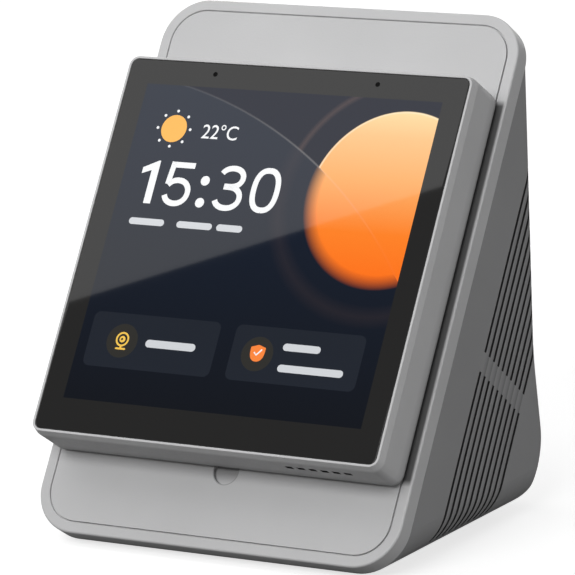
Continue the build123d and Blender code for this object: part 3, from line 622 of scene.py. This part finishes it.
# ---------------------------------------------------------------- repeated shapes
class Pattern:
    """A geometry tree with named sizes, run once and left as a plain mesh."""

    def __init__(self, name, **sizes):
        self.name, self.sizes, self.ids = name, sizes, {}
        self.tree = bpy.data.node_groups.new(name, "GeometryNodeTree")
        sockets = self.tree.interface
        sockets.new_socket("Geometry", in_out="OUTPUT", socket_type="NodeSocketGeometry")
        for label, value in sizes.items():
            kind = "NodeSocketInt" if isinstance(value, int) else "NodeSocketFloat"
            entry = sockets.new_socket(label, in_out="INPUT", socket_type=kind)
            self.ids[label] = entry.identifier
        self.size = self.tree.nodes.new("NodeGroupInput").outputs

    def add(self, kind, **inputs):
        node = self.tree.nodes.new(kind)
        for label, value in inputs.items():
            socket = node.inputs[label.replace("_", " ")]
            if isinstance(value, bpy.types.NodeSocket):
                self.tree.links.new(value, socket)
            else:
                socket.default_value = value
        return node

    def triple(self, x, y, z):
        return self.add("ShaderNodeCombineXYZ", X=x, Y=y, Z=z).outputs[0]

    def repeat(self, points, shape, material):
        """Sets the shape at every point and closes the tree."""
        many = self.add("GeometryNodeInstanceOnPoints", Points=points, Instance=shape).outputs[0]
        real = self.add("GeometryNodeRealizeInstances", Geometry=many).outputs[0]
        done = self.add("GeometryNodeSetMaterial", Geometry=real, Material=material).outputs[0]
        self.tree.links.new(done, self.tree.nodes.new("NodeGroupOutput").inputs[0])

    def piece(self, u, v, depth):
        """Plain mesh object, its own across, up and out laid along the panel's."""
        holder = added(self.name, bpy.data.meshes.new(self.name))
        run = holder.modifiers.new("pattern", "NODES")
        run.node_group = self.tree
        for label, value in self.sizes.items():
            run[self.ids[label]] = value
        mesh = as_mesh(holder)
        holder.modifiers.remove(run)
        mesh.transform(turned_to(at(u, v, depth), ACROSS, UP, OUT))
        holder.data = mesh
        return holder


def speaker_slots(name, material):
    """Row of slots through the housing's lower wall, as one cutter."""
    row = Pattern(
        name,
        Count=SLOT_COUNT,
        Pitch=SLOT_PITCH * MM,
        Width=SLOT_W * MM,
        Thickness=SLOT_T * MM,
    )
    step = row.triple(row.size["Pitch"], 0.0, 0.0)
    points = row.add("GeometryNodeMeshLine", Count=row.size["Count"], Offset=step).outputs[0]
    size = row.triple(row.size["Width"], 4 * MM, row.size["Thickness"])
    row.repeat(points, row.add("GeometryNodeMeshCube", Size=size).outputs[0], material)
    return row.piece(SLOT_X - (SLOT_COUNT - 1) / 2 * SLOT_PITCH, -PANEL_H / 2, SLOT_DEPTH)


def spark_ring(name, material):
    """Small dots evenly spaced round the sun."""
    ring = Pattern(
        name,
        Count=SPARKS,
        Reach=SPARK_AT * MM,
        Dot=SPARK_R * MM,
        Thickness=(INK_PROUD + INK_SUNK) * MM,
    )
    size = ring.size
    spread = ring.add("GeometryNodeMeshCircle", Vertices=size["Count"], Radius=size["Reach"])
    dot = ring.add(
        "GeometryNodeMeshCylinder", Vertices=14, Radius=size["Dot"], Depth=size["Thickness"]
    )
    ring.repeat(spread.outputs[0], dot.outputs[0], material)
    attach(ring.piece(SUN_X, SUN_UP, GLASS_FRONT - INK_PROUD / 2 + 0.005), "panel")


# ---------------------------------------------------------------- finishes on the CAD nodes
LIGHT_GREY, SHELL_GREY = (0.60, 0.60, 0.605), (0.335, 0.335, 0.34)
finishes = {
    "light_grey": moulded("light_grey_plastic", LIGHT_GREY, 0.46),
    "shell_grey": shell_plastic("shell_plastic", SHELL_GREY),
    "dark_glass": screen_glass(),
    "screw_steel": brushed("zinc_screw", (0.62, 0.62, 0.6)),
    "pressed_steel": brushed("galvanised_sheet", (0.66, 0.67, 0.68), 0.38),
    "black_rubber": rubbery("black_rubber", (0.022, 0.022, 0.023)),
    "black_plastic": moulded("black_plastic", (0.03, 0.03, 0.032), 0.42),
    "board_green": circuit_board("solder_mask", (0.02, 0.12, 0.05)),
    "foam": rubbery("black_foam", (0.03, 0.03, 0.03), 0.95),
    "cell_black": moulded("polariser", (0.012, 0.012, 0.016), 0.2, 900.0, 0.000005),
    "reflector": moulded("white_reflector", (0.82, 0.83, 0.84), 0.35),
    "copper_yellow": moulded("winding_tape", (0.72, 0.5, 0.06), 0.35, 1400.0),
    "relay_blue": moulded("relay_case", (0.03, 0.1, 0.36), 0.3),
    "capacitor_sleeve": moulded("capacitor_sleeve", (0.03, 0.035, 0.08), 0.25),
    "terminal_green": moulded("terminal_block", (0.05, 0.28, 0.1), 0.4),
    "pad_blue": rubbery("thermal_pad", (0.2, 0.33, 0.5), 0.85),
    "flex_amber": moulded("polyimide_film", (0.45, 0.2, 0.03), 0.25, 1200.0),
    "aluminium": brushed("pressed_aluminium", (0.78, 0.78, 0.79), 0.34),
}
inks = {name: ink(name) for name in ("tile", "badge", "white", "words", "sun", "yellow", "orange")}

for part in frame["record"]["subparts"]:
    node = frame["nodes"][part["node"]]
    node.data.materials.clear()
    node.data.materials.append(finishes[part["material_slot"]])
plate_plastic = moulded("plate_plastic", LIGHT_GREY, 0.46, painted_shade=scoop_painted_shading)
frame["nodes"]["front_plate"].data.materials[0] = plate_plastic


def finished(obj, body, slot, finish, *nodes):
    """Gives a piece its finish and body, in place of CAD nodes."""
    flat_faced(obj)
    obj.data.materials.clear()
    obj.data.materials.append(finish)
    obj.data.polygons.foreach_set("material_index", [0] * len(obj.data.polygons))
    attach(obj, body)
    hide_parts(*nodes)


# ---------------------------------------------------------------- stand ring
ring = swept(
    "stand_ring",
    RING_W,
    RING_H,
    RING_R,
    [
        (0, RING_BACK, 0.12),
        (0, RING_FRONT, 0.45),
        (RING_RIM, RING_FRONT, 0.2),
        (RING_RIM, RING_FRONT + SEAM_DEPTH, 0),
        (RING_RIM + SEAM_STEP, RING_FRONT + SEAM_DEPTH, 0),
        (RING_RIM + SEAM_STEP, PLATE_BACK, 0),
        (RING_LEDGE, PLATE_BACK, 0),
        (RING_LEDGE, RING_BACK, 0),
        (3.7, RING_BACK, 0),
    ],
    up=RING_UP,
    steps=16,
)
ring_plastic = moulded("ring_plastic", LIGHT_GREY, 0.46, painted_shade=ring_painted_shade)
finished(ring, "stand", "light_grey", ring_plastic, "front_frame")

# ---------------------------------------------------------------- panel housing
case = swept(
    "panel_case",
    PANEL_W,
    PANEL_H,
    PANEL_R,
    [
        (BEVEL_INSET, 0, 0.12),
        (0, BEVEL_DEPTH, 1.2),
        (0, PANEL_DEPTH, 1.5),
        (1.55, PANEL_DEPTH, 0),
        (PANEL_WALL + 0.3, LEDGE_BACK, 0),
        (LEDGE_MARGIN, LEDGE_BACK, 0),
        (LEDGE_MARGIN, LEDGE_DEPTH, 0),
        (GLASS_MARGIN, LEDGE_DEPTH, 0),
        (GLASS_MARGIN, 0, 0.1),
    ],
    steps=8,
)
housing_plastic = moulded("housing_plastic", LIGHT_GREY, 0.46, painted_shade=housing_painted_shade)
slots = speaker_slots("speaker_slots", housing_plastic)
notch_front = PANEL_DEPTH - NOTCH_T
notch = block("prying_notch", NOTCH_X, -PANEL_H / 2, notch_front, NOTCH_W, 2 * NOTCH_RISE, 2)
cut(case, [slots, notch])
finished(case, "panel", "light_grey", housing_plastic, "panel_housing")

# ---------------------------------------------------------------- cover glass
glass = swept(
    "touch_glass",
    GLASS_W,
    GLASS_H,
    GLASS_R,
    [(0, GLASS_BACK, 0), (0, GLASS_FRONT, 0.12), (0.4, GLASS_FRONT, 0)],
    hollow=False,
    steps=8,
)
mics = [block("mic_hole", x, MIC_UP, -1, 2 * MIC_R, 2 * MIC_R, 4, MIC_R) for x in (-MIC_X, MIC_X)]
cut(glass, mics)
finished(glass, "panel", "dark_glass", finishes["dark_glass"], "cover_glass")

# ---------------------------------------------------------------- shapes on the screen
SUN_X, SUN_UP, SUN_R, SPARK_R, SPARK_AT, SPARKS = -26.35, 26.6, 3.1, 0.33, 4.02, 8
flat_shape("screen_sun", [disc(SUN_X, SUN_UP, SUN_R)], "sun")
spark_ring("screen_sparks", inks["white"])
figures("screen_temperature", "22°C", -19.2, 24.85, 8.7, 3.35)

CLOCK_LOW, CLOCK_HIGH, PEN = 9.3, 19.2, 1.27
clock_one = [
    (-29.1, CLOCK_LOW + 0.15),
    (-27.37, CLOCK_LOW + 0.15),
    (-27.37, CLOCK_HIGH),
    (-27.75, CLOCK_HIGH),
    (-31.35, 17.45),
    (-31.35, 16.1),
    (-29.1, 16.95),
]
five_top = [(-18.65, CLOCK_HIGH - PEN / 2), (-24.3, CLOCK_HIGH - PEN / 2)]
five_stem = [(-23.85, CLOCK_HIGH), (-24.3, 14.15)]
five_bowl = bow(-21.75, 12.5, 2.8, 2.62, 148, -162, 0.95)
three_high = bow(-9.05, 16.6, 2.7, 2.05, 158, -90, 0.95) + [(-10.5, 14.55)]
three_low = [(-10.5, 14.5)] + bow(-9.1, 12.1, 2.95, 2.35, 90, -162, 0.95)
nought = bow(-0.35, 14.3, 2.82, 4.42, 90, -90, 0.82), bow(-0.35, 14.3, 2.82, 4.42, 270, 90, 0.82)
pen_lines = (five_top, five_stem, five_bowl, three_high, three_low, *nought)
clock_shapes = [clock_one] + [stroke(line, PEN) for line in pen_lines]
clock_dots = [disc(-15.35, up, 1.08) for up in (15.45, 10.5)]
flat_shape("screen_clock", clock_shapes + clock_dots, "white")
date_words = [bar(-27.0, 5.35, 8.7, 1.5), bar(-15.2, 5.35, 8.7, 1.5), bar(-6.6, 5.35, 6.3, 1.5)]
flat_shape("screen_date_bars", date_words, "words")

TILES = ((-17.9, 31.1), (16.8, 30.8))
TILE_UP, TILE_H, TILE_R, BADGE_R = -21.25, 12.1, 1.5, 3.75
WEBCAM_X, SHIELD_X = -25.2, 7.7
tiles = [bar(x, TILE_UP, w, TILE_H, TILE_R) for x, w in TILES]
flat_shape("screen_tiles", tiles, "tile", TILE_PROUD)
badges = [disc(x, TILE_UP, BADGE_R) for x in (WEBCAM_X, SHIELD_X)]
flat_shape("screen_badges", badges, "badge", BADGE_PROUD)
webcam = [
    stroke(bow(WEBCAM_X, -20.9, 1.4, 1.4, 0, 360), 0.4),
    disc(WEBCAM_X, -20.9, 0.72, 18),
    bar(WEBCAM_X, -23.0, 2.5, 0.4),
    bar(WEBCAM_X, -22.7, 0.5, 0.9, 0.1),
]
flat_shape("screen_webcam", webcam, "yellow", MARK_PROUD)
webcam_eye = disc(WEBCAM_X - 0.1, -20.9, 0.27, 12)
flat_shape("screen_webcam_eye", [webcam_eye], "badge", TOP_PROUD)
shield_side = bow(SHIELD_X, -20.4, 1.75, 2.5, 0, -180, 0.85, 16)
shield = [(SHIELD_X - 1.75, -19.8), (SHIELD_X, -19.25), (SHIELD_X + 1.75, -19.8)] + shield_side
flat_shape("screen_shield", [shield], "orange", MARK_PROUD)
tick = stroke([(SHIELD_X - 0.8, -20.9), (SHIELD_X - 0.2, -21.5), (SHIELD_X + 0.95, -20.2)], 0.34)
flat_shape("screen_tick", [tick], "white", TOP_PROUD)
tile_words = [bar(-13.3, -21.3, 12.2, 1.7), bar(17.8, -19.2, 8.9, 1.6), bar(21.0, -23.8, 15.5, 1.6)]
flat_shape("screen_word_bars", tile_words, "words", MARK_PROUD)

# ---------------------------------------------------------------- floor, lights and camera
FLOOR_SIZE, FLOOR_BOUNCE, FLOOR_SHINE = 6.0, 0.24, 0.72
SKY, SKY_DARK, DARK_FROM, DARK_FULL = 0.12, 0.1, 0.86, 0.93


def stage_floor():
    """Plain pale floor that throws back less light than it shows."""
    bm = bmesh.new()
    bmesh.ops.create_grid(bm, x_segments=2, y_segments=2, size=FLOOR_SIZE)
    floor = mesh_object("floor", bm)
    recipe = Recipe("pale_floor")
    path = recipe.tree.nodes.new("ShaderNodeLightPath")
    speck = recipe.stretch(recipe.noise(30.0), 0.3, 0.7, 0.0, 1.0)
    pale = recipe.blend(speck, (0.49, 0.49, 0.49), (0.5, 0.5, 0.5))
    seen = recipe.blend(path.outputs["Is Camera Ray"], (FLOOR_BOUNCE,) * 3, pale)
    shine = recipe.calc("MULTIPLY", path.outputs["Is Camera Ray"], FLOOR_SHINE)
    recipe.set(Emission_Color=(1.0, 1.0, 1.0), Emission_Strength=shine)
    floor.data.materials.append(recipe.set(Base_Color=seen, Roughness=0.9, Specular_IOR_Level=0.0))


def softbox(name, place, aim, w, h, power, roll_to=None):
    """Rectangular lamp that the camera doesn't see."""
    lamp = bpy.data.lights.new(name, "AREA")
    lamp.shape = "RECTANGLE"
    lamp.size, lamp.size_y, lamp.energy = w, h, power
    obj = added(name, lamp)
    back = (place - aim).normalized()
    side = (roll_to or Vector((0, 0, 1)).cross(back)).normalized()
    side = (side - back * side.dot(back)).normalized()
    obj.matrix_world = turned_to(place, side, back.cross(side), back)
    obj.visible_camera = False


CAMERA_TURN, CAMERA_RISE, CAMERA_ROLL = radians(31.22), radians(12.52), radians(-2.34)
CAMERA_AIM = Vector((6.42, -10.29, 53.04)) * MM
CAMERA_DISTANCE, SENSOR, LENS = 0.9479, 36.0, 286.44


def studio_camera():
    """Long lens, a little to the right and above."""
    data = bpy.data.cameras.new("camera")
    data.lens, data.sensor_width = LENS, SENSOR
    data.shift_x, data.shift_y = 0.00823, 0.00645
    data.clip_start = 0.05
    obj = added("camera", data)
    away = cos(CAMERA_RISE)
    back = Vector((sin(CAMERA_TURN) * away, -cos(CAMERA_TURN) * away, sin(CAMERA_RISE)))
    level = Vector((cos(CAMERA_TURN), sin(CAMERA_TURN), 0))
    tilt = back.cross(level)
    right = level * cos(CAMERA_ROLL) + tilt * sin(CAMERA_ROLL)
    up = back.cross(right)
    place = CAMERA_AIM + back * CAMERA_DISTANCE
    obj.matrix_world = turned_to(place, right, up, back)
    bpy.context.scene.camera = obj
    return place


def reflected(place, u, v, reach):
    """Where a look from the camera goes on to after the glass, a reach beyond it."""
    spot = at(u, v, GLASS_FRONT)
    mirrored = place - OUT * 2 * (place - spot).dot(OUT)
    return spot + (spot - mirrored).normalized() * reach


KEY_REACH, KEY_W, KEY_H, KEY_WATTS = 0.8, 1.6, 1.1, 6.4
EDGE_LEFT, EDGE_RIGHT = (-41.0, -14.0), (41.0, 18.3)  # lower edge of the lamp's image on the glass

FILL_LAMPS = {  # place, height aimed at, width, height, watts
    "top_softbox": ((0.1, 0.1, 1.3), 0.0, 1.6, 1.6, 0.8),
    "front_softbox": ((0.05, -1.1, 0.82), 0.05, 0.9, 0.5, 9.0),
    "side_softbox": ((1.1, -0.1, 0.35), 0.05, 0.5, 0.7, 2.6),
    "back_softbox": ((-0.4, 1.2, 0.3), 0.05, 1.0, 0.5, 3.5),
}

stage_floor()
eye = studio_camera()
edge_one = reflected(eye, *EDGE_LEFT, KEY_REACH)
edge_two = reflected(eye, *EDGE_RIGHT, KEY_REACH)
edge_mid = (edge_one + edge_two) / 2
toward = (edge_mid - CENTRE).normalized()
along_edge = (edge_two - edge_one).normalized()
rise = toward.cross(along_edge).normalized()
rise = rise if rise.dot(UP) > 0 else -rise
key_place = edge_mid + rise * KEY_H / 2
softbox("key_softbox", key_place, key_place - toward, KEY_W, KEY_H, KEY_WATTS, along_edge)
for lamp_name, (lamp_place, aim_height, wide, tall, watts) in FILL_LAMPS.items():
    softbox(lamp_name, Vector(lamp_place), Vector((0, 0, aim_height)), wide, tall, watts)


def studio_sky(key_way):
    """Even white light from all round, a little less from behind the key lamp."""
    world = bpy.data.worlds.new("studio")
    world.use_nodes = True
    nodes, links = world.node_tree.nodes, world.node_tree.links
    toward_key = nodes.new("ShaderNodeVectorMath")
    toward_key.operation = "DOT_PRODUCT"
    toward_key.inputs[1].default_value = key_way
    links.new(nodes.new("ShaderNodeTexCoord").outputs["Generated"], toward_key.inputs[0])
    strength = nodes.new("ShaderNodeMapRange")
    for socket, value in zip(list(strength.inputs)[1:5], (DARK_FROM, DARK_FULL, SKY, SKY_DARK)):
        socket.default_value = value
    links.new(toward_key.outputs["Value"], strength.inputs[0])
    links.new(strength.outputs[0], nodes["Background"].inputs[1])
    nodes["Background"].inputs[0].default_value = (1.0, 1.0, 1.0, 1)
    bpy.context.scene.world = world


studio_sky(toward)
bpy.context.scene.view_settings.view_transform = "Standard"
